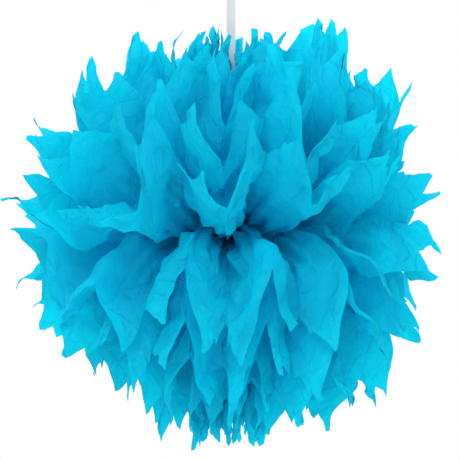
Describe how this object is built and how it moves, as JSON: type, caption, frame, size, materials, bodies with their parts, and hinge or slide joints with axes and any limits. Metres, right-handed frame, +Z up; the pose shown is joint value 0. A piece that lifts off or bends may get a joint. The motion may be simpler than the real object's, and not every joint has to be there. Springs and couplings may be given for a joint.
{
  "type": "tissue paper pom pom",
  "caption": "Round hanging pom pom of pleated tissue paper sheets cut to points, gathered by a wire tie and hung on a satin ribbon with a loop.",
  "frame": {"origin": "inside top of the ribbon's hanging loop, where a hook carries it", "axes": "+Z up along the ribbon and the ball's axis, -Y towards the viewer, +X to the viewer's right"},
  "size_m": [0.4166, 0.3643, 0.4614],
  "materials": {
    "tissue": "matte, thin and translucent cyan tissue",
    "tie_wire": "plain bent wire",
    "ribbon": "light grey satin ribbon"
  },
  "bodies": {
    "root": {"tissue_sheet_01": "tissue", "tissue_sheet_02": "tissue", "tissue_sheet_03": "tissue", "tissue_sheet_04": "tissue", "tissue_sheet_05": "tissue", "tissue_sheet_06": "tissue", "tissue_sheet_07": "tissue", "tissue_sheet_08": "tissue", "tissue_sheet_09": "tissue", "tissue_sheet_10": "tissue", "waist_wire": "tie_wire", "hanging_ribbon": "ribbon"}
  },
  "joints": []
}
